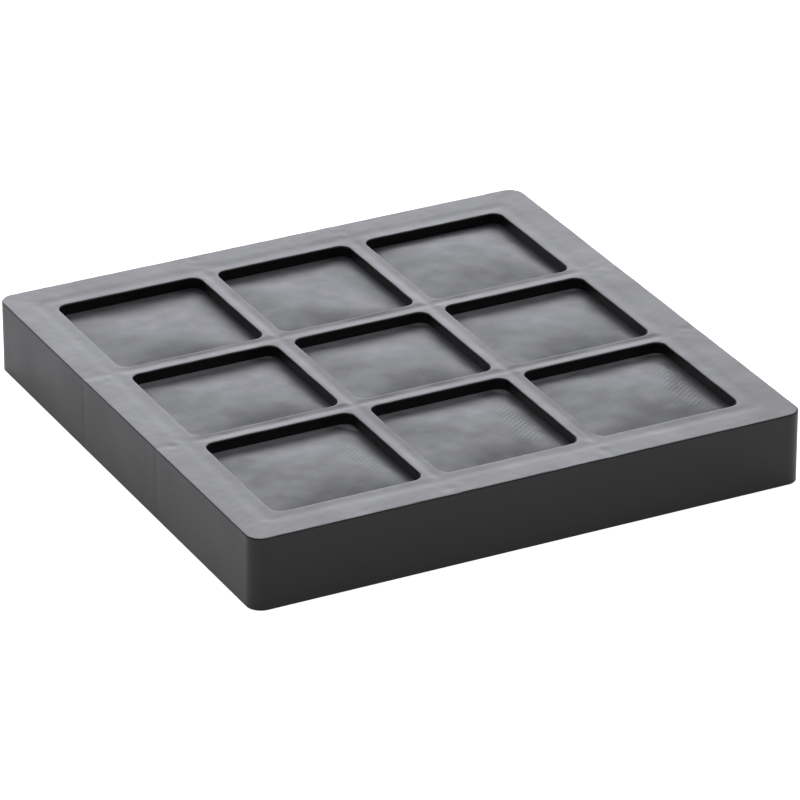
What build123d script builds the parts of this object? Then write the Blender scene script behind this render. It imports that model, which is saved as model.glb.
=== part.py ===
from build123d import *
import os

# Square filter cassette with nine cells, in millimetres.
# A moulded casing carries a face plate with three rows of three windows, and a box of
# nine cells behind it. Each cell has a woven mesh panel bonded under its window, which
# bulges up into the window over a bed of activated carbon granules. One sheet of mesh
# closes all nine cells at the back, clamped by a rear cover that snaps into the casing.
# The origin is at the centre of the base, and +Z points out of the face plate.

# Casing, outside
SIDE = 250.0
HEIGHT = 31.5
CORNER_R = 6.5
FACE_EDGE_R = 0.8
OUTER_WALL = 2.5
FACE_PLATE = 2.8

# Windows in the face plate, and the ribs between them
RIB = 8.4
WINDOW_OUTER = 66.2
WINDOW_MIDDLE = 62.6
WINDOW_R = 4.5
WINDOW_EDGE_R = 0.8

# Cells behind the windows, each wider than its window by a ledge all round
LEDGE = 3.0
LIP_DEPTH = 4.7
CELL_WALL = RIB - 2 * LEDGE
CELL_R = 5.5

# Mesh panels and granule beds
MESH = 0.5
REAR_MESH = 0.4
REAR_MESH_MARGIN = 0.6
PAD_CLEAR = 0.6
PAD_RISE = 2.6
PAD_SHOULDER = 5.0
PAD_EDGE_R = 1.2
FIT_GAP = 0.1

# Rear cover, its snap arms, and the catches in the casing that they hook over
COVER = 2.5
COVER_RECESS = 0.5
COVER_CLEAR = 0.25
ARM_WIDTH = 10.0
ARM_THICK = 1.6
ARM_TOP = 14.2
ARM_SETBACK = 1.65
BARB_BITE = 1.15
BARB_TALL = 2.3
CATCH_WIDTH = 14.0
CATCH_REACH = 1.4
CATCH_LOW = 9.0
CATCH_TALL = 2.5

# Heights that pieces share
COVER_TOP = COVER_RECESS + COVER
CELL_FOOT = COVER_TOP + REAR_MESH
LEDGE_Z = HEIGHT - LIP_DEPTH
PLATE_Z = HEIGHT - FACE_PLATE

# Places across the cassette
PITCH = (WINDOW_MIDDLE + WINDOW_OUTER) / 2 + RIB
LINES = [(-PITCH, WINDOW_OUTER), (0.0, WINDOW_MIDDLE), (PITCH, WINDOW_OUTER)]
RIB_LINE = (WINDOW_MIDDLE + RIB) / 2
CELL_BLOCK = 2 * PITCH + WINDOW_OUTER + 2 * (LEDGE + CELL_WALL)
INSIDE = SIDE - 2 * OUTER_WALL


def slab(width, depth, radius, low, high, x=0.0, y=0.0):
    """A plate with rounded corners, from one height to another."""
    return extrude(Pos(x, y, low) * RectangleRounded(width, depth, radius), high - low)


def cells():
    """Name, centre and window size of each cell, from the back row to the front row."""
    for row, (y, depth) in enumerate(reversed(LINES), start=1):
        for column, (x, width) in enumerate(LINES, start=1):
            yield f"r{row}_c{column}", x, y, width, depth


def around_the_sides(block):
    """Two copies of a block that is drawn for the right-hand side, on each of the four sides."""
    for quarter in range(4):
        for line in (-PITCH, PITCH):
            yield Rot(0, 0, 90 * quarter) * Pos(0, line, 0) * block


def right_side_profile(points, width):
    """A block for the right-hand side whose X-Z outline is the given points."""
    outline = Plane.XZ * make_face(Polyline(*points, close=True))
    return extrude(outline, width / 2, both=True)


def catch():
    """A shelf on the inside of the outer wall, sloped underneath to guide the snap arm over it."""
    wall = INSIDE / 2 + OUTER_WALL / 2
    tip = INSIDE / 2 - CATCH_REACH
    top = CATCH_LOW + CATCH_TALL
    points = [(wall, CATCH_LOW - CATCH_REACH), (tip, CATCH_LOW + CATCH_REACH), (tip, top), (wall, top)]
    return right_side_profile(points, CATCH_WIDTH)


def snap_arm():
    """A springy arm that stands on the cover, with a barb that sits on top of the catch."""
    outer = INSIDE / 2 - ARM_SETBACK
    inner = outer - ARM_THICK
    barb_low = ARM_TOP - BARB_TALL
    points = [
        (inner, COVER_TOP - COVER / 2),
        (outer, COVER_TOP - COVER / 2),
        (outer, barb_low),
        (outer + BARB_BITE, barb_low),
        (outer, ARM_TOP),
        (inner, ARM_TOP),
    ]
    return right_side_profile(points, ARM_WIDTH)


def front_casing():
    """Face plate, outer walls, the box of nine cells, and the catches for the cover."""
    body = slab(SIDE, SIDE, CORNER_R, 0, HEIGHT)
    body = fillet(body.faces().sort_by(Axis.Z)[-1].edges(), FACE_EDGE_R)
    body -= slab(INSIDE, INSIDE, CORNER_R - OUTER_WALL, 0, PLATE_Z)
    body += slab(CELL_BLOCK, CELL_BLOCK, CELL_R, CELL_FOOT, PLATE_Z)
    web = Box(INSIDE + OUTER_WALL, CELL_WALL, PLATE_Z - CELL_FOOT)
    for line in (-RIB_LINE, RIB_LINE):
        body += Pos(0, line, (PLATE_Z + CELL_FOOT) / 2) * web
        body += Pos(line, 0, (PLATE_Z + CELL_FOOT) / 2) * Rot(0, 0, 90) * web
    for _, x, y, width, depth in cells():
        body -= slab(width + 2 * LEDGE, depth + 2 * LEDGE, CELL_R, CELL_FOOT, LEDGE_Z, x, y)
        body -= slab(width, depth, WINDOW_R, LEDGE_Z, HEIGHT, x, y)
    face = body.faces().sort_by(Axis.Z)[-1]
    body = fillet([edge for wire in face.inner_wires() for edge in wire.edges()], WINDOW_EDGE_R)
    for shelf in around_the_sides(catch()):
        body += shelf
    return body


def dome(width, depth, base, rise, x, y, edge_r):
    """A low cushion with sloping sides and a rounded top edge."""
    foot = Pos(x, y, base) * RectangleRounded(width, depth, WINDOW_R)
    crown = Pos(x, y, base + rise) * RectangleRounded(
        width - 2 * PAD_SHOULDER, depth - 2 * PAD_SHOULDER, WINDOW_R + PAD_SHOULDER / 2
    )
    cushion = loft([foot, crown])
    return fillet(cushion.faces().sort_by(Axis.Z)[-1].edges(), edge_r)


def mesh_panel(x, y, width, depth):
    """A mesh panel: a flat flange under the ledge and a bulge up into the window."""
    cell_width = width + 2 * LEDGE - 2 * FIT_GAP
    cell_depth = depth + 2 * LEDGE - 2 * FIT_GAP
    foot_width = width - 2 * PAD_CLEAR
    foot_depth = depth - 2 * PAD_CLEAR
    panel = slab(cell_width, cell_depth, CELL_R - FIT_GAP, LEDGE_Z - MESH, LEDGE_Z, x, y)
    panel += dome(foot_width, foot_depth, LEDGE_Z, PAD_RISE, x, y, PAD_EDGE_R)
    panel -= dome(foot_width - 2 * MESH, foot_depth - 2 * MESH, LEDGE_Z - MESH, PAD_RISE, x, y, PAD_EDGE_R)
    return panel


def carbon_bed(x, y, width, depth):
    """The granules in one cell, heaped up under the bulge of the mesh panel."""
    side = 2 * (LEDGE - FIT_GAP)
    inset = 2 * (MESH + PAD_CLEAR + FIT_GAP)
    top = LEDGE_Z - MESH - FIT_GAP
    bed = slab(width + side, depth + side, CELL_R - FIT_GAP, CELL_FOOT, top, x, y)
    return bed + dome(width - inset, depth - inset, top, PAD_RISE, x, y, PAD_EDGE_R)


def rear_mesh():
    """One sheet of mesh across the feet of all the cell walls."""
    side = CELL_BLOCK - 2 * REAR_MESH_MARGIN
    return slab(side, side, CELL_R, COVER_TOP, CELL_FOOT)


def rear_cover():
    """A cover with nine windows and eight snap arms, recessed inside the outer walls."""
    side = INSIDE - 2 * COVER_CLEAR
    cover = slab(side, side, CORNER_R - OUTER_WALL - COVER_CLEAR, COVER_RECESS, COVER_TOP)
    for _, x, y, width, depth in cells():
        cover -= slab(width, depth, WINDOW_R, COVER_RECESS, COVER_TOP, x, y)
    for arm in around_the_sides(snap_arm()):
        cover += arm
    return cover


def assembly():
    """Every piece by its node name."""
    pieces = {"front_casing": front_casing(), "rear_mesh": rear_mesh(), "rear_cover": rear_cover()}
    for cell, x, y, width, depth in cells():
        pieces[f"mesh_panel_{cell}"] = mesh_panel(x, y, width, depth)
        pieces[f"carbon_bed_{cell}"] = carbon_bed(x, y, width, depth)
    return pieces


os.makedirs("parts", exist_ok=True)
for node, piece in assembly().items():
    export_step(piece, f"parts/{node}.step")
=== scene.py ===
import math
from collections import namedtuple

import bmesh
import bpy
import numpy as np
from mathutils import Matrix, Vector
from mathutils.geometry import delaunay_2d_cdt


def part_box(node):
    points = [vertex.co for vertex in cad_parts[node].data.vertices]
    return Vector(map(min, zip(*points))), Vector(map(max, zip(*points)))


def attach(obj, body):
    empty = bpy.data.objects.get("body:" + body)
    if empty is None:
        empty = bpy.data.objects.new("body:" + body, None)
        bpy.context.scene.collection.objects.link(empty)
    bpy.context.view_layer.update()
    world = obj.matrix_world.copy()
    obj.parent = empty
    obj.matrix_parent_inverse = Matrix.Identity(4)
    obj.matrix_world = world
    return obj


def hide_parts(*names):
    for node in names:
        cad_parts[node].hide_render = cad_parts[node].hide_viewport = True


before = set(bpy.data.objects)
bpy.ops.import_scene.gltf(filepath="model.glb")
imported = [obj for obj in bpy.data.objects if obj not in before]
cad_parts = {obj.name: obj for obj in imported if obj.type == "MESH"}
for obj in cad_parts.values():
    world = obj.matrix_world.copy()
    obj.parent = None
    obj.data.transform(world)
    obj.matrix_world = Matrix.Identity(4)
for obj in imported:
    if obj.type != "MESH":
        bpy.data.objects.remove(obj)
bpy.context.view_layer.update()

MM = 0.001

# Places that the CAD frame gives. Lengths are in millimetres from here on.
CASING_LOW, CASING_HIGH = (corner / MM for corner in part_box("front_casing"))
SIDE = CASING_HIGH.x - CASING_LOW.x
HEIGHT = CASING_HIGH.z
CELLS = [f"r{row}_c{column}" for row in (1, 2, 3) for column in (1, 2, 3)]

# Sizes that the CAD's cell plan uses.
RIB = 8.4
LEDGE = 3.0
CELL_WALL = 2.4
FIT_GAP = 0.1
CAD_SHEET = 0.5
CORNER_R = 6.5
WINDOW_R = 4.5
CAD_EDGE_R = 0.8

# Rounding of the edges that are built here.
OUTER_EDGE_R = 0.5
WINDOW_EDGE_R = 0.8

Plan = namedtuple("Plan", "x y width depth")


def cell_plan(cell):
    """Centre, width and depth of one cell's window."""
    low, high = (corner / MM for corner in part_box(f"mesh_panel_{cell}"))
    width = high.x - low.x + 2 * FIT_GAP - 2 * LEDGE
    depth = high.y - low.y + 2 * FIT_GAP - 2 * LEDGE
    return Plan((low.x + high.x) / 2, (low.y + high.y) / 2, width, depth)


PLANS = {cell: cell_plan(cell) for cell in CELLS}
LEDGE_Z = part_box("mesh_panel_r1_c1")[0].z / MM + CAD_SHEET

# Distance from the middle to a rib's centre line, and to the outermost cell wall's.
RIB_LINE = (PLANS["r2_c2"].width + RIB) / 2
BLOCK_LINE = PLANS["r1_c3"].x + PLANS["r1_c3"].width / 2 + LEDGE + CELL_WALL / 2


# Random fields with a fixed seed

WAVE_COUNT = 24
WAVE_SPREAD = (0.7, 1.5)


def waves(x, y, length, seed):
    """A smooth random field of about unit size, with bumps about one length apart."""
    rng = np.random.default_rng(seed)
    angle = rng.uniform(0, 2 * np.pi, WAVE_COUNT)
    pitch = 2 * np.pi / (length * rng.uniform(*WAVE_SPREAD, WAVE_COUNT))
    phase = rng.uniform(0, 2 * np.pi, WAVE_COUNT)
    field = np.zeros(np.shape(x))
    for a, k, p in zip(angle, pitch, phase):
        field = field + np.cos(k * (np.cos(a) * x + np.sin(a) * y) + p)
    return field * math.sqrt(2 / WAVE_COUNT)


def bell(distance, reach):
    """1 at distance 0, falling smoothly to 0 at the reach."""
    t = np.clip(np.abs(distance) / reach, 0, 1)
    return 0.5 * (1 + np.cos(np.pi * t))


def ramp(value, low, high):
    """0 below low, 1 above high, smooth between."""
    t = np.clip((value - low) / (high - low), 0, 1)
    return t * t * (3 - 2 * t)


def inside_distance(x, y, width, depth, radius):
    """Distance inwards from a rounded rectangle round the origin; negative outside."""
    qx = np.abs(x) - (width / 2 - radius)
    qy = np.abs(y) - (depth / 2 - radius)
    outside = np.hypot(np.maximum(qx, 0), np.maximum(qy, 0))
    return radius - outside - np.minimum(np.maximum(qx, qy), 0)


# Materials

def material(name):
    """A new node material, its tree and its shader."""
    made = bpy.data.materials.new(name)
    made.use_nodes = True
    tree = made.node_tree
    shader = next(n for n in tree.nodes if n.type == "BSDF_PRINCIPLED")
    return made, tree, shader


def node(tree, kind, **settings):
    """A new node with those input values and properties."""
    made = tree.nodes.new(kind)
    for name, value in settings.items():
        if name in made.inputs:
            made.inputs[name].default_value = value
        else:
            setattr(made, name, value)
    return made


def noise(tree, source, scale, detail=3.0, rough=0.5):
    """Fractal noise from 0 to 1 over the source coordinates."""
    made = node(tree, "ShaderNodeTexNoise")
    made.inputs["Scale"].default_value = scale
    made.inputs["Detail"].default_value = detail
    made.inputs["Roughness"].default_value = rough
    tree.links.new(source, made.inputs["Vector"])
    return made.outputs["Fac"]


def mapped(tree, value, source, target):
    """The value carried from one range to another, and held inside it."""
    made = node(tree, "ShaderNodeMapRange")
    sockets = ("From Min", "From Max", "To Min", "To Max")
    for socket, number in zip(sockets, (*source, *target)):
        made.inputs[socket].default_value = number
    tree.links.new(value, made.inputs["Value"])
    return made.outputs["Result"]


def maths(tree, kind, first, second=0.0):
    """A Math node on two values, each a socket or a number."""
    made = node(tree, "ShaderNodeMath", operation=kind)
    for socket, value in zip(made.inputs, (first, second)):
        if isinstance(value, (int, float)):
            socket.default_value = value
        else:
            tree.links.new(value, socket)
    return made.outputs[0]


# Sockets of a Mix node that mixes colours: its two colours and its result.
MIX_FIRST, MIX_SECOND, MIX_RESULT = 6, 7, 2


def blended(tree, factor, first, second):
    """A colour between two, by the factor."""
    made = node(tree, "ShaderNodeMix", data_type="RGBA")
    tree.links.new(factor, made.inputs["Factor"])
    made.inputs[MIX_FIRST].default_value = (*first, 1)
    made.inputs[MIX_SECOND].default_value = (*second, 1)
    return made.outputs[MIX_RESULT]


def bump(tree, height, strength, distance):
    made = node(tree, "ShaderNodeBump")
    made.inputs["Strength"].default_value = strength
    made.inputs["Distance"].default_value = distance
    tree.links.new(height, made.inputs["Height"])
    return made.outputs["Normal"]


# Materials' colours, and their sizes in metres, because their nodes read object coordinates.
PLASTIC_COLOURS = ((0.0090, 0.0082, 0.0086), (0.0130, 0.0122, 0.0128))
PLASTIC_ROUGHNESS = (0.30, 0.38)
PLASTIC_CLOUD, PLASTIC_PEEL = 38.0, 2600.0
PEEL_HEIGHT = 0.00002
THREAD_COLOURS = ((0.012, 0.012, 0.013), (0.060, 0.061, 0.064))
# Painted light: a pale colour added at the foot of each back wall and on the bonded strip, to lift
# the shade that the back wall casts.
PALE_STRIP_AND_RIM_LIGHT_COLOUR = (0.19, 0.185, 0.19)
WEAVE_ROUGHNESS = (0.43, 0.37)
WEAVE_CLOUD, WEAVE_GRAIN = 110.0, 480.0
WEAVE_PITCH = 0.0019
WEAVE_TURN = 52.0
WEAVE_HEIGHT = 0.00004
SLACK_RELIEF, TAUT_RELIEF = 0.4, 3.2
# Painted shade: each granule is lighter in its middle and darker towards the gaps between granules.
GRANULE_AND_GAP_SHADE_COLOURS = ((0.035, 0.034, 0.033), (0.008, 0.008, 0.008))
GRANULE_SCALE = 420.0
GRANULE_DEPTH = 0.0012
CLOUD_RANGE = (0.3, 0.7)


def plastic_material():
    """Satin black moulded plastic with a faint orange peel and cloudy gloss."""
    made, tree, shader = material("satin_black_plastic")
    place = node(tree, "ShaderNodeTexCoord").outputs["Object"]
    cloud = noise(tree, place, PLASTIC_CLOUD, 4.0, 0.55)
    peel = noise(tree, place, PLASTIC_PEEL, 2.0)
    colour = blended(tree, mapped(tree, cloud, (0.35, 0.65), (0, 1)), *PLASTIC_COLOURS)
    roughness = mapped(tree, cloud, CLOUD_RANGE, PLASTIC_ROUGHNESS)
    tree.links.new(colour, shader.inputs["Base Color"])
    tree.links.new(roughness, shader.inputs["Roughness"])
    tree.links.new(bump(tree, peel, 0.10, PEEL_HEIGHT), shader.inputs["Normal"])
    shader.inputs["IOR"].default_value = 1.5
    return made


def woven(tree, place, pitch, turn):
    """Height of a ribbed weave: thick threads one way, and thin ones that cross them."""
    turned = node(tree, "ShaderNodeMapping")
    turned.inputs["Rotation"].default_value = (0, 0, math.radians(turn))
    turned.inputs["Scale"].default_value = [math.pi / pitch] * 3
    tree.links.new(place, turned.inputs["Vector"])
    parts = node(tree, "ShaderNodeSeparateXYZ")
    tree.links.new(turned.outputs["Vector"], parts.inputs["Vector"])
    sines = [maths(tree, "SINE", parts.outputs[axis]) for axis in (0, 1)]
    cosines = [maths(tree, "COSINE", parts.outputs[axis]) for axis in (0, 1)]
    thick, thin = (maths(tree, "ABSOLUTE", sine) for sine in sines)
    crossing = maths(tree, "MULTIPLY", maths(tree, "MULTIPLY", *cosines), 0.10)
    across = maths(tree, "ADD", crossing, maths(tree, "MULTIPLY", thin, 0.2))
    return maths(tree, "ADD", maths(tree, "MULTIPLY", thick, 0.7), across)


def mesh_material():
    """Dark grey ribbed weave, a little glossy and cloudy, with painted light: a pale strip and a
    pale band at the foot of each back wall, where the wall's shade falls.
    """
    made, tree, shader = material("dark_plain_weave")
    place = node(tree, "ShaderNodeTexCoord").outputs["Object"]
    cloud = noise(tree, place, WEAVE_CLOUD, 3.0, 0.5)
    grain = noise(tree, place, WEAVE_GRAIN, 3.0, 0.65)
    taut = node(tree, "ShaderNodeAttribute", attribute_name="taut").outputs["Fac"]
    relief = mapped(tree, taut, (0, 1), (SLACK_RELIEF, TAUT_RELIEF))
    weave = maths(tree, "MULTIPLY", woven(tree, place, WEAVE_PITCH, WEAVE_TURN), relief)
    tone = maths(tree, "MULTIPLY", mapped(tree, cloud, CLOUD_RANGE, (0.6, 1.0)),
                 mapped(tree, weave, (-0.1, 1.0), (0.9, 1.0)))
    # Painted light: the pale strip and band at the foot of the back wall are added to the threads'
    # colour.
    pale_strip_and_rim_light = node(tree, "ShaderNodeAttribute", attribute_name="pale_strip_and_rim_light").outputs["Fac"]
    colour = node(tree, "ShaderNodeMix", data_type="RGBA", blend_type="ADD")
    colour.inputs["Factor"].default_value = 1.0
    tree.links.new(blended(tree, tone, *THREAD_COLOURS), colour.inputs[MIX_FIRST])
    tree.links.new(blended(tree, pale_strip_and_rim_light, (0, 0, 0), PALE_STRIP_AND_RIM_LIGHT_COLOUR), colour.inputs[MIX_SECOND])
    tree.links.new(colour.outputs[MIX_RESULT], shader.inputs["Base Color"])
    tree.links.new(mapped(tree, cloud, CLOUD_RANGE, WEAVE_ROUGHNESS), shader.inputs["Roughness"])
    height = maths(tree, "ADD", weave, maths(tree, "MULTIPLY", grain, 1.3))
    tree.links.new(bump(tree, height, 0.6, WEAVE_HEIGHT), shader.inputs["Normal"])
    shader.inputs["IOR"].default_value = 1.45
    return made


def carbon_material():
    """Dull black granules, painted darker towards the gaps between them as painted shade."""
    made, tree, shader = material("carbon_granules")
    place = node(tree, "ShaderNodeTexCoord").outputs["Object"]
    grains = node(tree, "ShaderNodeTexVoronoi")
    grains.inputs["Scale"].default_value = GRANULE_SCALE
    tree.links.new(place, grains.inputs["Vector"])
    away = grains.outputs["Distance"]
    # Painted shade: darker the farther from a grain's middle, in the gaps where the bump sinks.
    tree.links.new(blended(tree, away, *GRANULE_AND_GAP_SHADE_COLOURS), shader.inputs["Base Color"])
    tree.links.new(bump(tree, away, 0.9, -GRANULE_DEPTH), shader.inputs["Normal"])
    shader.inputs["Roughness"].default_value = 0.8
    return made


PLASTIC = plastic_material()
WEAVE = mesh_material()
CARBON = carbon_material()


# Mesh building

def rounded_outline(cx, cy, width, depth, radius, step, arc):
    """Points of a rounded rectangle, anticlockwise, and the outward direction at each."""
    hx, hy = width / 2 - radius, depth / 2 - radius
    corners = [(cx + hx, cy + hy), (cx - hx, cy + hy), (cx - hx, cy - hy), (cx + hx, cy - hy)]
    points, outward = [], []
    for i, centre in enumerate(corners):
        centre = np.array(centre)
        for k in range(arc + 1):
            a = math.pi / 2 * (i + k / arc)
            direction = np.array((math.cos(a), math.sin(a)))
            points.append(centre + radius * direction)
            outward.append(direction)
        start, end = points[-1], np.array(corners[(i + 1) % 4]) + radius * outward[-1]
        count = max(1, round(float(np.linalg.norm(end - start)) / step))
        for k in range(1, count):
            points.append(start + (end - start) * k / count)
            outward.append(outward[-1])
    return np.array(points), np.array(outward)


def triangulated(coords, links):
    """Plan points and triangles that join the coords, and the coord that each point came from."""
    points = [Vector(c) for c in coords]
    flat, _, triangles, origin, _, _ = delaunay_2d_cdt(points, links, [], 0, 1e-6)
    return flat, triangles, [o[0] for o in origin]


class Builder:
    """Gathers points and faces for one mesh, in millimetres."""

    def __init__(self):
        self.points = []
        self.faces = []

    def add(self, points):
        first = len(self.points)
        self.points.extend(map(tuple, points))
        return list(range(first, len(self.points)))

    def ring(self, plan, height):
        return self.add((x, y, z) for (x, y), z in zip(plan, np.broadcast_to(height, len(plan))))

    def bridge(self, first, second):
        """Quads between two rings of the same length."""
        for i in range(len(first)):
            j = (i + 1) % len(first)
            self.faces.append((first[i], first[j], second[j], second[i]))

    def zip_rings(self, first, second, cx, cy):
        """Triangles between two rings round one centre whose points differ in number."""
        rings = []
        for ring in (first, second):
            angles = [math.atan2(self.points[i][1] - cy, self.points[i][0] - cx) for i in ring]
            order = sorted(range(len(ring)), key=lambda k: angles[k])
            rings.append([(angles[k], ring[k]) for k in order])
        a, b = rings
        i = j = 0
        while i < len(a) or j < len(b):
            next_a = a[(i + 1) % len(a)][0] + (2 * math.pi if i + 1 >= len(a) else 0)
            next_b = b[(j + 1) % len(b)][0] + (2 * math.pi if j + 1 >= len(b) else 0)
            here_a, here_b = a[i % len(a)][1], b[j % len(b)][1]
            if j >= len(b) or (i < len(a) and next_a <= next_b):
                self.faces.append((here_a, a[(i + 1) % len(a)][1], here_b))
                i += 1
            else:
                self.faces.append((here_a, b[(j + 1) % len(b)][1], here_b))
                j += 1

    def make(self, name, paint, sharp):
        mesh = bpy.data.meshes.new(name)
        mesh.from_pydata([tuple(c * MM for c in p) for p in self.points], [], self.faces)
        return finished(name, mesh, paint, sharp)


def finished(name, mesh, paint, sharp):
    """An object of the mesh, smooth but for edges that turn more than `sharp` degrees."""
    work = bmesh.new()
    work.from_mesh(mesh)
    bmesh.ops.recalc_face_normals(work, faces=work.faces)
    for face in work.faces:
        face.smooth = True
    for edge in work.edges:
        gentle = edge.calc_face_angle(0) < math.radians(sharp)
        edge.smooth = len(edge.link_faces) == 2 and gentle
    work.to_mesh(mesh)
    work.free()
    mesh.materials.clear()
    mesh.materials.append(paint)
    made = bpy.data.objects.new(name, mesh)
    bpy.context.scene.collection.objects.link(made)
    return made


# Casing

# Depth and reach of the sink marks, how far they lie off their walls, and the dished face's rise.
RIB_SINK_X = 0.42
RIB_SINK_Y = 0.38
RIB_SINK_REACH = 3.8
BLOCK_SINK = 0.17
BLOCK_SINK_REACH = 4.6
SINK_SHIFT = 0.7
SINK_SWAY = 0.15
RIM_RISE = 0.45
WALL_SINK = 0.10
WALL_SINK_REACH = 3.4

# The blotches on the border where each rib ends.
BLOTCH_LINE = 117
BLOTCH_REACH = 9.0
BLOTCH_STRETCH = 1.3

# Seeds of the casing's random fields.
SINK_SEED, FLOW_SEED, FINE_FLOW_SEED, BLOTCH_SEED, WALL_SEED, FINE_WALL_SEED = range(11, 17)


def face_relief(x, y):
    """Height of the face over a true plane: sink marks over the walls behind it, and flow."""
    reach_x = 1 - 0.8 * ramp(np.abs(x), BLOCK_LINE - 7, BLOCK_LINE + 1)
    reach_y = 1 - 0.8 * ramp(np.abs(y), BLOCK_LINE - 7, BLOCK_LINE + 1)
    inside_x = 1 - ramp(np.abs(x), BLOCK_LINE - 1, BLOCK_LINE + 3)
    inside_y = 1 - ramp(np.abs(y), BLOCK_LINE - 1, BLOCK_LINE + 3)
    parts = []
    for line in (-RIB_LINE, RIB_LINE):
        parts.append(RIB_SINK_X * bell(x - line - SINK_SHIFT, RIB_SINK_REACH) * reach_y)
        parts.append(RIB_SINK_Y * bell(y - line - SINK_SHIFT, RIB_SINK_REACH) * reach_x)
    parts.append(BLOCK_SINK * bell(np.abs(x) - BLOCK_LINE - 1, BLOCK_SINK_REACH) * inside_y)
    parts.append(BLOCK_SINK * bell(np.abs(y) - BLOCK_LINE - 1, BLOCK_SINK_REACH) * inside_x)
    sink = sum(part ** 3 for part in parts) ** (1 / 3)
    sink = sink * (1 + SINK_SWAY * waves(x, y, 30.0, SINK_SEED))
    outwards = np.maximum(np.abs(x), np.abs(y))
    rise = RIM_RISE * ramp(outwards, RIB_LINE * 2.9, SIDE / 2 + 3)
    flow = 0.034 * waves(x, y, 18.0, FLOW_SEED) + 0.012 * waves(x, y, 6.0, FINE_FLOW_SEED)
    blotch = 0.0
    for line in (-RIB_LINE, RIB_LINE):
        for edge in (-BLOTCH_LINE, BLOTCH_LINE):
            away_x = np.hypot((x - edge) / BLOTCH_STRETCH, y - line)
            away_y = np.hypot(x - line, (y - edge) / BLOTCH_STRETCH)
            blotch = blotch + bell(away_x, BLOTCH_REACH) + bell(away_y, BLOTCH_REACH)
    marks = blotch * (0.045 * waves(x, y, 7.0, BLOTCH_SEED) - 0.02)
    return rise + flow + marks - sink


def wall_relief(x, y, z):
    """How far the outer wall stands in from a true plane: sink marks where the webs meet it."""
    along = np.where(np.abs(x) > np.abs(y), y, x)
    webs = bell(along - RIB_LINE, WALL_SINK_REACH) + bell(along + RIB_LINE, WALL_SINK_REACH)
    fade = ramp(z, 0.12 * HEIGHT, 0.45 * HEIGHT)
    sway = 0.015 * waves(along + 3 * (x > y), 0.35 * z, 24.0, WALL_SEED)
    sway = sway + 0.004 * waves(along, z, 7.0, FINE_WALL_SEED)
    return (WALL_SINK * webs + sway) * ramp(z, 0, 0.1 * HEIGHT) * (0.25 + 0.75 * fade)


def edge_profile(radius, steps=6):
    """Offset and drop of each ring round an edge, from the flat face to the wall."""
    angles = [math.pi / 2 * k / steps for k in range(steps + 1)]
    return [(radius * (1 - math.sin(a)), radius * (1 - math.cos(a))) for a in angles]


# How CAD faces are told apart: the merge distance is in metres, the others in millimetres.
MERGE = 2e-6
TOLERANCE = 0.01
ON_OUTLINE = 0.1
UPRIGHT = 0.5


def kept_casing(builder):
    """Adds the CAD casing without the faces that are rebuilt here, and returns the open rims."""
    work = bmesh.new()
    work.from_mesh(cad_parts["front_casing"].data)
    bmesh.ops.remove_doubles(work, verts=work.verts, dist=MERGE)
    gone = []
    for face in work.faces:
        c = face.calc_center_median() / MM
        wall = abs(face.normal.z) < UPRIGHT
        rim = [inside_distance(v.co.x / MM, v.co.y / MM, SIDE, SIDE, CORNER_R) for v in face.verts]
        top = c.z > HEIGHT - CAD_EDGE_R + TOLERANCE
        outer = wall and max(rim) < ON_OUTLINE
        window = wall and c.z > LEDGE_Z + TOLERANCE and max(abs(c.x), abs(c.y)) < BLOCK_LINE - 3
        if top or outer or window:
            gone.append(face)
    bmesh.ops.delete(work, geom=gone, context="FACES")
    work.verts.index_update()
    index = builder.add([tuple(v.co / MM) for v in work.verts])
    for face in work.faces:
        builder.faces.append([index[v.index] for v in face.verts])
    rims, left = [], {e for e in work.edges if len(e.link_faces) == 1}
    while left:
        edge = left.pop()
        loop = [edge.verts[0], edge.verts[1]]
        while True:
            step = next((e for e in loop[-1].link_edges if e in left), None)
            if step is None:
                break
            left.remove(step)
            loop.append(step.other_vert(loop[-1]))
        rims.append([index[v.index] for v in loop[:-1]])
    work.free()
    return rims


# Spacing of the face's points, and of those along the outer outline and the windows' outlines.
FACE_STEP = 0.8
OUTER_STEP, OUTER_ARC = 1.0, 10
WINDOW_STEP, WINDOW_ARC = 0.9, 8
OUTER_RINGS, WINDOW_RINGS = 30, 5

# Share of an edge's radius that a face's middle must clear, to be part of the face plate.
CLEAR_SHARE = 0.99

# Bend in degrees above which an edge shows as sharp.
PLASTIC_SHARP, CLOTH_SHARP, GRANULE_SHARP = 35, 50, 60


def edge_and_wall(builder, outline, outward, sign, radius, heights):
    """Rings down a rounded edge and its wall: the first ring and its plan, and the last ring."""
    rings = []
    for offset, drop in edge_profile(radius):
        plan = outline + sign * offset * outward
        rings.append((plan, HEIGHT - drop + face_relief(*plan.T)))
    lift = face_relief(*outline.T)
    fade_from = HEIGHT - 4 if sign < 0 else LEDGE_Z + 1
    for z in heights:
        plan = outline
        if sign < 0:
            sunk = wall_relief(*outline.T, np.full(len(outline), z))
            plan = outline - sunk[:, None] * outward
        rings.append((plan, z + ramp(z, fade_from, HEIGHT - radius) * lift))
    made = [builder.ring(plan, height) for plan, height in rings]
    for upper, lower in zip(made, made[1:]):
        builder.bridge(upper, lower)
    return made[0], rings[0][0], made[-1]


def matching(builder, rims, x, y, z):
    """The rim of the kept casing round that centre at that height."""
    found = []
    for rim in rims:
        points = np.array([builder.points[i] for i in rim])
        middle = (points.min(0) + points.max(0)) / 2
        if abs(middle[2] - z) < 0.3 and math.hypot(middle[0] - x, middle[1] - y) < 1:
            found.append(rim)
    assert len(found) == 1, (x, y, z, len(found), len(rims))
    return found[0]


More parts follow.
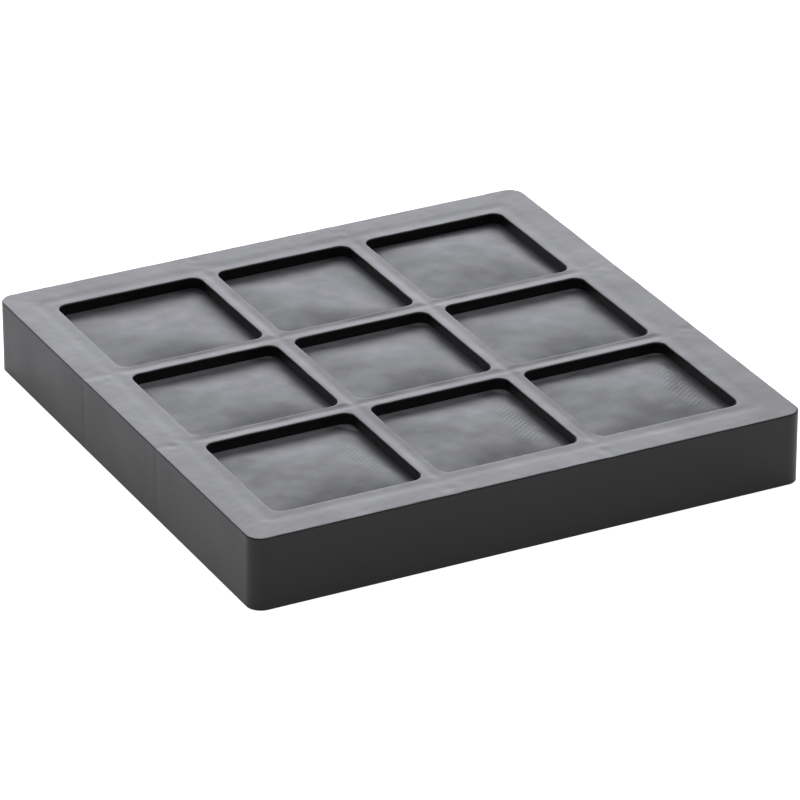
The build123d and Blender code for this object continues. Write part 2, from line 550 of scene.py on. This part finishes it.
def casing():
    """The CAD casing with its outer wall, edges, face plate and window walls built finely."""
    builder = Builder()
    rims = kept_casing(builder)
    coords, links, owner = [], [], []

    def face_rim(ring, plan):
        first = len(coords)
        coords.extend(plan)
        owner.extend(ring)
        links.extend((first + i, first + (i + 1) % len(plan)) for i in range(len(plan)))

    outline, outward = rounded_outline(0, 0, SIDE, SIDE, CORNER_R, OUTER_STEP, OUTER_ARC)
    heights = np.linspace(HEIGHT - OUTER_EDGE_R - 0.7, 0.4, OUTER_RINGS)
    ring, plan, low_ring = edge_and_wall(builder, outline, outward, -1, OUTER_EDGE_R, heights)
    face_rim(ring, plan)
    builder.zip_rings(low_ring, matching(builder, rims, 0, 0, 0), 0, 0)
    heights = np.linspace(HEIGHT - WINDOW_EDGE_R - 0.4, LEDGE_Z + 0.3, WINDOW_RINGS)
    for x, y, width, depth in PLANS.values():
        outline, outward = rounded_outline(x, y, width, depth, WINDOW_R, WINDOW_STEP, WINDOW_ARC)
        ring, plan, low_ring = edge_and_wall(builder, outline, outward, 1, WINDOW_EDGE_R, heights)
        face_rim(ring, plan)
        builder.zip_rings(low_ring, matching(builder, rims, x, y, LEDGE_Z), x, y)

    def on_face(x, y, outer_gap, window_gap):
        """True where a point is on the flat face, at least the gaps away from its rims."""
        clear = inside_distance(x, y, SIDE, SIDE, CORNER_R) > outer_gap
        for cx, cy, width, depth in PLANS.values():
            clear &= inside_distance(x - cx, y - cy, width, depth, WINDOW_R) < -window_gap
        return clear

    line = np.arange(-SIDE / 2 + FACE_STEP, SIDE / 2, FACE_STEP)
    x, y = (grid.ravel() for grid in np.meshgrid(line, line))
    clear = on_face(x, y, OUTER_EDGE_R + 0.5 * FACE_STEP, WINDOW_EDGE_R + 0.5 * FACE_STEP)
    x, y = x[clear], y[clear]
    inner = builder.add(np.stack([x, y, HEIGHT + face_relief(x, y)], 1))
    coords.extend(np.stack([x, y], 1))
    owner.extend(inner)
    flat, triangles, origin = triangulated(coords, links)
    middle = np.array([[sum(flat[i][k] for i in t) / 3 for k in (0, 1)] for t in triangles])
    keep = on_face(*middle.T, OUTER_EDGE_R * CLEAR_SHARE, WINDOW_EDGE_R * CLEAR_SHARE)
    for triangle, kept in zip(triangles, keep):
        if kept:
            builder.faces.append([owner[origin[i]] for i in triangle])
    made = builder.make("casing", PLASTIC, PLASTIC_SHARP)
    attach(made, "root")
    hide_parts("front_casing")


# Mesh panels

SHEET = 0.35
PANEL_R = 5.2
PANEL_STEP, PANEL_RIM_STEP, PANEL_ARC = 0.75, 0.8, 8
PANEL_CLEARANCE = 0.03
FLANGE_LIFT = 0.2
CREASE = 0.04
BOND_SIDE = 0.7
BOND_R = 8.0
BOND_SWAY = 0.25

# The cloth simulation: its grid step, how many times larger than life it runs, and its length.
SIM_STEP = 1.25
SIM_SCALE = 10.0
SIM_FRAMES = 24
SIM_SOFTENINGS = 6
CREST_PERCENTILE = 99

# Added to a panel's own seed for each of its random fields.
BOND_SEED, LUMP_SEED, FINE_LUMP_SEED, GRANULE_SEED, REAR_SEED = 100, 200, 300, 400, 500

# For each panel: crown height, how steep its sides are, the flat rim at the back, the flat corner
# at the back right, its seed, and how far its crest lies to the right and to the back.
Pad = namedtuple("Pad", "crown steep back cut seed lean")
PADS = {
    "r1_c1": Pad(3.0, 1.40, 0.5, 4.0, 21, (-4.0, -8.0)),
    "r1_c2": Pad(3.0, 1.30, 0.5, 4.0, 22, (-11.0, -4.0)),
    "r1_c3": Pad(3.5, 1.00, 0.3, 0.0, 23, (2.0, 8.0)),
    "r2_c1": Pad(2.9, 1.20, 1.3, 0.0, 24, (4.0, -4.0)),
    "r2_c2": Pad(3.0, 1.20, 1.4, 3.0, 25, (4.0, -2.0)),
    "r2_c3": Pad(2.9, 1.20, 1.3, 1.0, 26, (4.0, -2.0)),
    "r3_c1": Pad(3.0, 1.15, 1.5, 6.0, 27, (4.0, 0.0)),
    "r3_c2": Pad(3.0, 1.10, 1.6, 6.0, 28, (6.0, 1.0)),
    "r3_c3": Pad(3.0, 1.10, 1.6, 2.0, 29, (5.0, 2.0)),
}

# How much the weave stands out on the right flank of a panel.
TAUT = {"r3_c1": 1.0, "r3_c2": 1.0, "r3_c3": 0.7, "r2_c2": 0.4}
TAUT_ELSEWHERE = 0.1
TAUT_REAR = 0.2


def bond_distance(cell, x, y):
    """Distance inwards from the line where a panel leaves its bond, round the window's centre."""
    _, _, width, depth = PLANS[cell]
    pad = PADS[cell]
    shifted = y + (pad.back - BOND_SIDE) / 2
    inner = inside_distance(x, shifted, width - 2 * BOND_SIDE, depth - BOND_SIDE - pad.back, BOND_R)
    corner = ((width / 2 - x) + (depth / 2 - y)) / math.sqrt(2) - pad.cut
    return np.minimum(inner, corner) + BOND_SWAY * waves(x, y, 14.0, pad.seed + BOND_SEED)


def cloth_grid(cell):
    """A flat sheet over one window, pinned outside the bond line, ready to be blown up."""
    _, _, width, depth = PLANS[cell]
    count = [round(size / SIM_STEP) + 1 for size in (width, depth)]
    line_x = np.linspace(-width / 2, width / 2, count[0])
    line_y = np.linspace(-depth / 2, depth / 2, count[1])
    x, y = (grid.ravel() for grid in np.meshgrid(line_x, line_y))
    points = np.stack([x, y, 0 * x], 1) * MM * SIM_SCALE
    faces = []
    for j in range(count[1] - 1):
        for i in range(count[0] - 1):
            a = j * count[0] + i
            faces.append((a, a + 1, a + count[0] + 1, a + count[0]))
    mesh = bpy.data.meshes.new(f"cloth_{cell}")
    mesh.from_pydata(points.tolist(), [], faces)
    made = bpy.data.objects.new(f"cloth_{cell}", mesh)
    bpy.context.scene.collection.objects.link(made)
    pinned = made.vertex_groups.new(name="pinned")
    held = 1 - ramp(bond_distance(cell, x, y), 0.0, 1.2)
    for i, weight in enumerate(held):
        if weight > 0:
            pinned.add([i], float(weight), "REPLACE")
    cloth = made.modifiers.new("cloth", "CLOTH")
    settings = cloth.settings
    settings.quality = 5
    settings.mass = 0.25
    settings.air_damping = 3.0
    settings.tension_stiffness = 18.0
    settings.compression_stiffness = 18.0
    settings.shear_stiffness = 8.0
    settings.bending_stiffness = 0.3
    settings.vertex_group_mass = "pinned"
    settings.shrink_min = -0.008
    settings.use_pressure = True
    settings.uniform_pressure_force = 4.0
    settings.effector_weights.gravity = 0.0
    return made, count, line_x, line_y


def inflated():
    """Blows all nine sheets up at once, and returns each one's height field in millimetres."""
    sheets = {cell: cloth_grid(cell) for cell in CELLS}
    scene = bpy.context.scene
    for frame_number in range(1, SIM_FRAMES + 1):
        scene.frame_set(frame_number)
    fields = {}
    for cell, (made, count, line_x, line_y) in sheets.items():
        shaped = made.evaluated_get(bpy.context.evaluated_depsgraph_get()).to_mesh()
        co = np.zeros(len(shaped.vertices) * 3, np.float32)
        shaped.vertices.foreach_get("co", co)
        height = co.reshape(-1, 3)[:, 2].astype(float) / (MM * SIM_SCALE)
        height = softened(np.abs(height).reshape(count[1], count[0]))
        fields[cell] = height / np.percentile(height, CREST_PERCENTILE)
        bpy.data.objects.remove(made)
    scene.frame_set(1)
    return fields


def softened(field):
    """Evens out ripples about one grid step long."""
    for _ in range(SIM_SOFTENINGS):
        field = np.pad(field, 1, mode="edge")
        field = (field[:-2] + 2 * field[1:-1] + field[2:]) / 4
        field = (field[:, :-2] + 2 * field[:, 1:-1] + field[:, 2:]) / 4
    return field


def sampled(field, x, y, width, depth):
    """Cubic interpolation in a height field over one window; zero outside it."""
    rows, columns = field.shape
    u = (x + width / 2) / width * (columns - 1)
    v = (y + depth / 2) / depth * (rows - 1)
    out = (u < 0) | (v < 0) | (u > columns - 1) | (v > rows - 1)
    u, v = np.clip(u, 0, columns - 1), np.clip(v, 0, rows - 1)
    i, j = np.floor(u).astype(int), np.floor(v).astype(int)
    total = np.zeros(len(x))
    for a in range(-1, 3):
        for b in range(-1, 3):
            total += (cubic(u - i - a) * cubic(v - j - b)
                      * field[np.clip(j + b, 0, rows - 1), np.clip(i + a, 0, columns - 1)])
    return np.where(out, 0, total)


def cubic(t):
    """Weight of a grid value at t steps away, for interpolation."""
    t = np.abs(t)
    near = 1.5 * t ** 3 - 2.5 * t ** 2 + 1
    far = -0.5 * t ** 3 + 2.5 * t ** 2 - 4 * t + 2
    return np.where(t < 1, near, np.where(t < 2, far, 0))


def near_back(cell, x, y):
    """1 along the back of a window and in its cut corner, fading towards the other sides."""
    _, _, width, depth = PLANS[cell]
    cut = PADS[cell].cut
    right, back = width / 2 - x, depth / 2 - y
    corner = ramp((right + back) / math.sqrt(2), cut + 2.0, cut) if cut else 0.0
    return np.maximum(ramp(back - right, 3.0, -3.0) * ramp(y, 0, 6), corner)


def in_window(cell, x, y):
    """1 inside one window and 0 under its ledge, round the window's centre."""
    _, _, width, depth = PLANS[cell]
    return ramp(inside_distance(x, y, width, depth, WINDOW_R), 0.1, 0.9)


def flange_strip(cell, x, y):
    """1 on the flat bonded strip that shows at the foot of the back wall, 0 elsewhere."""
    if PADS[cell].back < 1:
        return np.zeros(len(x))
    bonded = 1 - ramp(bond_distance(cell, x, y), -0.6, 1.2)
    return in_window(cell, x, y) * bonded * near_back(cell, x, y)


def painted_rim_light(cell, x, y):
    """1 where painted light lifts the back wall's shade on a panel, at the foot of that wall,
    fading forwards.
    """
    _, _, width, depth = PLANS[cell]
    pad = PADS[cell]
    away = depth / 2 - y + 0.4 * waves(x, y, 12.0, pad.seed + BOND_SEED)
    lifted_shade = min(pad.back, 1.0) * (1 - ramp(away, 0.0, 7.0))
    return in_window(cell, x, y) * lifted_shade * (1 - ramp(x, width / 2 - 16, width / 2 - 5))


def tautness(cell, x, y):
    """How much a panel's weave stands out: most on its right flank, halfway along."""
    _, _, width, depth = PLANS[cell]
    most = TAUT.get(cell, TAUT_ELSEWHERE)
    return most * bell(x - width / 2 + 13, 10) * bell(y, depth / 2)


def panel_height(cell, x, y, field):
    """Height of a panel's top over its bonded rim, round the window's centre."""
    _, _, width, depth = PLANS[cell]
    pad = PADS[cell]
    edge = bond_distance(cell, x, y)
    free = np.clip(1 - (2 * x / width) ** 2, 0, 1) * np.clip(1 - (2 * y / depth) ** 2, 0, 1)
    blown = sampled(field, x - pad.lean[0] * free, y - pad.lean[1] * free, width, depth)
    dome = pad.crown * np.clip(blown, 0, None) ** pad.steep
    crease = CREASE * near_back(cell, x, y) * bell(edge - 1.2, 2.4)
    lumps = 0.022 * waves(x, y, 11.0, pad.seed + LUMP_SEED)
    lumps = lumps + 0.004 * waves(x, y, 5.0, pad.seed + FINE_LUMP_SEED)
    flange = FLANGE_LIFT * flange_strip(cell, x, y)
    return dome - crease + ramp(edge, 0.0, 4.0) * lumps + flange


def flat_mesh(outline, step, radius):
    """Points and triangles that fill an outline, with a regular grid inside it."""
    low, high = outline.min(0), outline.max(0)
    lines = (np.arange(start + step, stop, step) for start, stop in zip(low, high))
    x, y = (grid.ravel() for grid in np.meshgrid(*lines))
    width, depth = high - low
    centre = (low + high) / 2
    keep = inside_distance(x - centre[0], y - centre[1], width, depth, radius) > 0.5 * step
    coords = np.concatenate([outline, np.stack([x[keep], y[keep]], 1)])
    rim = [(i, (i + 1) % len(outline)) for i in range(len(outline))]
    flat, triangles, origin = triangulated(coords, rim)
    faces = []
    for triangle in triangles:
        mid = sum((flat[i] for i in triangle), Vector((0, 0))) / 3
        if inside_distance(mid.x - centre[0], mid.y - centre[1], width, depth, radius) > 0:
            faces.append([origin[i] for i in triangle])
    return coords, faces


def solid_sheet(name, coords, heights, faces, thickness, paint, marks):
    """A cloth with its top at those heights; marks are point values that its material reads."""
    mesh = bpy.data.meshes.new(name)
    points = np.column_stack([coords, heights]) * MM
    mesh.from_pydata(points.tolist(), [], faces)
    work = bmesh.new()
    work.from_mesh(mesh)
    bmesh.ops.recalc_face_normals(work, faces=work.faces)
    if sum(face.normal.z for face in work.faces) < 0:
        bmesh.ops.reverse_faces(work, faces=work.faces)
    work.normal_update()
    under = {}
    for vert in list(work.verts):
        under[vert] = work.verts.new(vert.co - vert.normal * thickness * MM)
    rim = [edge for edge in work.edges if len(edge.link_faces) == 1]
    for face in list(work.faces):
        work.faces.new([under[v] for v in reversed(face.verts)])
    for edge in rim:
        a, b = edge.verts
        work.faces.new((b, a, under[a], under[b]))
    work.to_mesh(mesh)
    work.free()
    for mark, values in marks.items():
        layer = mesh.attributes.new(mark, "FLOAT", "POINT")
        layer.data.foreach_set("value", np.tile(values, 2).astype(np.float32))
    return finished(name, mesh, paint, CLOTH_SHARP)


def mesh_panels(fields):
    """One blown-up sheet in each window, clamped round its edge under the ledge."""
    for cell in CELLS:
        cx, cy, width, depth = PLANS[cell]
        size = [length + 2 * LEDGE - 4 * FIT_GAP for length in (width, depth)]
        outline, _ = rounded_outline(0, 0, *size, PANEL_R, PANEL_RIM_STEP, PANEL_ARC)
        coords, faces = flat_mesh(outline, PANEL_STEP, PANEL_R)
        x, y = coords.T
        top = LEDGE_Z - PANEL_CLEARANCE + panel_height(cell, x, y, fields[cell])
        # Painted light: a pale band and strip at the foot of the back wall, lifting the wall's
        # shade.
        pale_strip_and_rim_light = np.maximum(0.6 * flange_strip(cell, x, y), painted_rim_light(cell, x, y))
        marks = {"pale_strip_and_rim_light": pale_strip_and_rim_light, "taut": tautness(cell, x, y)}
        placed = coords + np.array((cx, cy))
        made = solid_sheet(f"weave_{cell}", placed, top, faces, SHEET, WEAVE, marks)
        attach(made, "root")
        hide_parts(f"mesh_panel_{cell}")


# Granule beds

BED_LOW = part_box("carbon_bed_r1_c1")[0].z / MM
BED_FLOOR = BED_LOW + 0.05
BED_STEP, BED_ARC = 1.0, 6
BED_RINGS = 16
BED_GAP = 0.22
GRAIN = 2.6
GRAIN_HEIGHT = 0.22
GRAIN_DENT = 0.3


def granule_beds(fields):
    """Heaped granules in each cell, just under the panel that they push up."""
    for cell in CELLS:
        cx, cy, width, depth = PLANS[cell]
        seed = PADS[cell].seed + GRANULE_SEED
        size = [length + 2 * LEDGE - 6 * FIT_GAP for length in (width, depth)]
        radius = PANEL_R - FIT_GAP
        outline, outward = rounded_outline(0, 0, *size, radius, BED_STEP, BED_ARC)
        coords, faces = flat_mesh(outline, BED_STEP, radius)
        x, y = coords.T
        panel = np.minimum(panel_height(cell, x, y, fields[cell]), PADS[cell].crown)
        rough = GRAIN_HEIGHT * np.abs(waves(x, y, GRAIN, seed))
        top = LEDGE_Z - SHEET + panel - BED_GAP - rough
        centre = np.array((cx, cy))
        builder = Builder()
        first = builder.add(np.column_stack([coords + centre, top]))
        builder.faces.extend([first[i] for i in face] for face in faces)
        upper = first[:len(outline)]
        along = outline[:, 0] - outline[:, 1]
        for z in np.linspace(LEDGE_Z - 1.6, BED_FLOOR, BED_RINGS):
            height = np.full(len(outline), z)
            dent = GRAIN_DENT * np.abs(waves(along, height, GRAIN, seed + 1))
            lower = builder.ring(outline - dent[:, None] * outward + centre, z)
            builder.bridge(upper, lower)
            upper = lower
        inner = coords[len(outline):]
        sag = rear_sag(cell, *inner.T, fields[cell])
        under = upper + builder.add(np.column_stack([inner + centre, BED_FLOOR - sag]))
        builder.faces.extend([under[i] for i in reversed(face)] for face in faces)
        made = builder.make(f"granules_{cell}", CARBON, GRANULE_SHARP)
        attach(made, "root")
        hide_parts(f"carbon_bed_{cell}")


# Rear mesh

REAR_SHEET = 0.3
REAR_SAG = 1.7
REAR_STEP, REAR_ARC = 1.2, 8
REAR_R = 5.5


def rear_sag(cell, x, y, field):
    """How far the rear mesh hangs into one rear window, round the window's centre."""
    _, _, width, depth = PLANS[cell]
    seed = PADS[cell].seed + REAR_SEED
    inside = ramp(inside_distance(x, y, width, depth, WINDOW_R), 0.4, 5.0)
    dome = REAR_SAG * np.clip(sampled(field[::-1, ::-1], x, y, width, depth), 0, None)
    return inside * np.clip(dome + 0.05 * waves(x, y, 9.0, seed), 0, REAR_SAG + 0.1)


def rear_mesh(fields):
    """One sheet over all nine cells, clamped between the cell walls and the rear cover."""
    low, high = (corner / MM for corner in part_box("rear_mesh"))
    side = high.x - low.x
    outline, _ = rounded_outline(0, 0, side, side, REAR_R, REAR_STEP, REAR_ARC)
    coords, faces = flat_mesh(outline, REAR_STEP, REAR_R)
    x, y = coords.T
    top = np.full(len(coords), high.z - PANEL_CLEARANCE)
    for cell in CELLS:
        cx, cy, _, _ = PLANS[cell]
        top -= rear_sag(cell, x - cx, y - cy, fields[cell])
    marks = {"taut": np.full(len(coords), TAUT_REAR)}
    made = solid_sheet("weave_rear", coords, top, faces, REAR_SHEET, WEAVE, marks)
    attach(made, "root")
    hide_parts("rear_mesh")


# Studio

def direction(azimuth, elevation):
    """Unit vector towards a light or camera; azimuth 0 is in front, and 90 is on the right."""
    a, e = math.radians(azimuth), math.radians(elevation)
    return Vector((math.sin(a) * math.cos(e), -math.cos(a) * math.cos(e), math.sin(e)))


# The camera that matches the photograph. Angles are in degrees, and the rest in metres.
CAMERA_AZIMUTH, CAMERA_ELEVATION = -27.04, 26.40
CAMERA_DISTANCE = 2.4298
CAMERA_AIM = (-0.00223, -0.01121, HEIGHT * MM / 2)
CAMERA_LENS, CAMERA_SENSOR = 262.7, 36.0

# What the camera sees of the world and the floor, and the light that they give the object.
WORLD_LIGHT, WORLD_SEEN = 0.06, 1.0
FLOOR_LIGHT, FLOOR_SEEN = 0.34, 0.90
FLOOR_SIZE = 24
COOL = (0.965, 0.975, 1.04)


def add_camera():
    data = bpy.data.cameras.new("camera")
    data.sensor_width = CAMERA_SENSOR
    data.lens = CAMERA_LENS
    data.clip_start = 0.1
    data.clip_end = 60.0
    made = bpy.data.objects.new("camera", data)
    bpy.context.scene.collection.objects.link(made)
    towards = direction(CAMERA_AZIMUTH, CAMERA_ELEVATION)
    made.location = Vector(CAMERA_AIM) + towards * CAMERA_DISTANCE
    made.rotation_mode = "QUATERNION"
    made.rotation_quaternion = (-towards).to_track_quat("-Z", "Y")
    bpy.context.scene.camera = made


def add_softbox(name, azimuth, elevation, distance, width, height, radiance):
    """An area light that faces the object from that side."""
    data = bpy.data.lights.new(name, "AREA")
    data.shape = "RECTANGLE"
    data.size = width
    data.size_y = height
    data.energy = radiance * math.pi * width * height
    data.color = COOL
    made = bpy.data.objects.new(name, data)
    bpy.context.scene.collection.objects.link(made)
    towards = direction(azimuth, elevation)
    made.location = towards * distance
    made.rotation_mode = "QUATERNION"
    made.rotation_quaternion = towards.to_track_quat("Z", "Y")


def add_world():
    world = bpy.data.worlds.new("studio")
    bpy.context.scene.world = world
    world.use_nodes = True
    tree = world.node_tree
    back = next(n for n in tree.nodes if n.type == "BACKGROUND")
    ray = tree.nodes.new("ShaderNodeLightPath").outputs["Is Camera Ray"]
    strength = mapped(tree, ray, (0, 1), (WORLD_LIGHT, WORLD_SEEN))
    tree.links.new(strength, back.inputs["Strength"])
    back.inputs["Color"].default_value = (1, 1, 1, 1)


def add_floor():
    bpy.ops.mesh.primitive_grid_add(x_subdivisions=20, y_subdivisions=20, size=FLOOR_SIZE)
    floor = bpy.context.object
    floor.name = "floor"
    made, tree, shader = material("pale_floor")
    place = node(tree, "ShaderNodeTexCoord").outputs["Object"]
    tone = blended(tree, noise(tree, place, 3.0), (0.80, 0.80, 0.80), (0.84, 0.84, 0.84))
    tree.links.new(tone, shader.inputs["Base Color"])
    shader.inputs["Roughness"].default_value = 0.9
    shader.inputs["Specular IOR Level"].default_value = 0.0
    shader.inputs["Emission Color"].default_value = (1, 1, 1, 1)
    ray = node(tree, "ShaderNodeLightPath").outputs["Is Camera Ray"]
    glow = mapped(tree, ray, (0, 1), (FLOOR_LIGHT, FLOOR_SEEN))
    tree.links.new(glow, shader.inputs["Emission Strength"])
    floor.data.materials.append(made)


bpy.context.scene.view_settings.view_transform = "Standard"
add_camera()
add_world()
add_floor()
add_softbox("key", azimuth=166, elevation=27, distance=1.6, width=1.6, height=1.15, radiance=3.45)
add_softbox("top", azimuth=165, elevation=78, distance=2.4, width=4.0, height=4.0, radiance=0.75)

casing()
blown_up = inflated()
mesh_panels(blown_up)
granule_beds(blown_up)
rear_mesh(blown_up)
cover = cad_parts["rear_cover"]
cover.data.materials.clear()
cover.data.materials.append(PLASTIC)
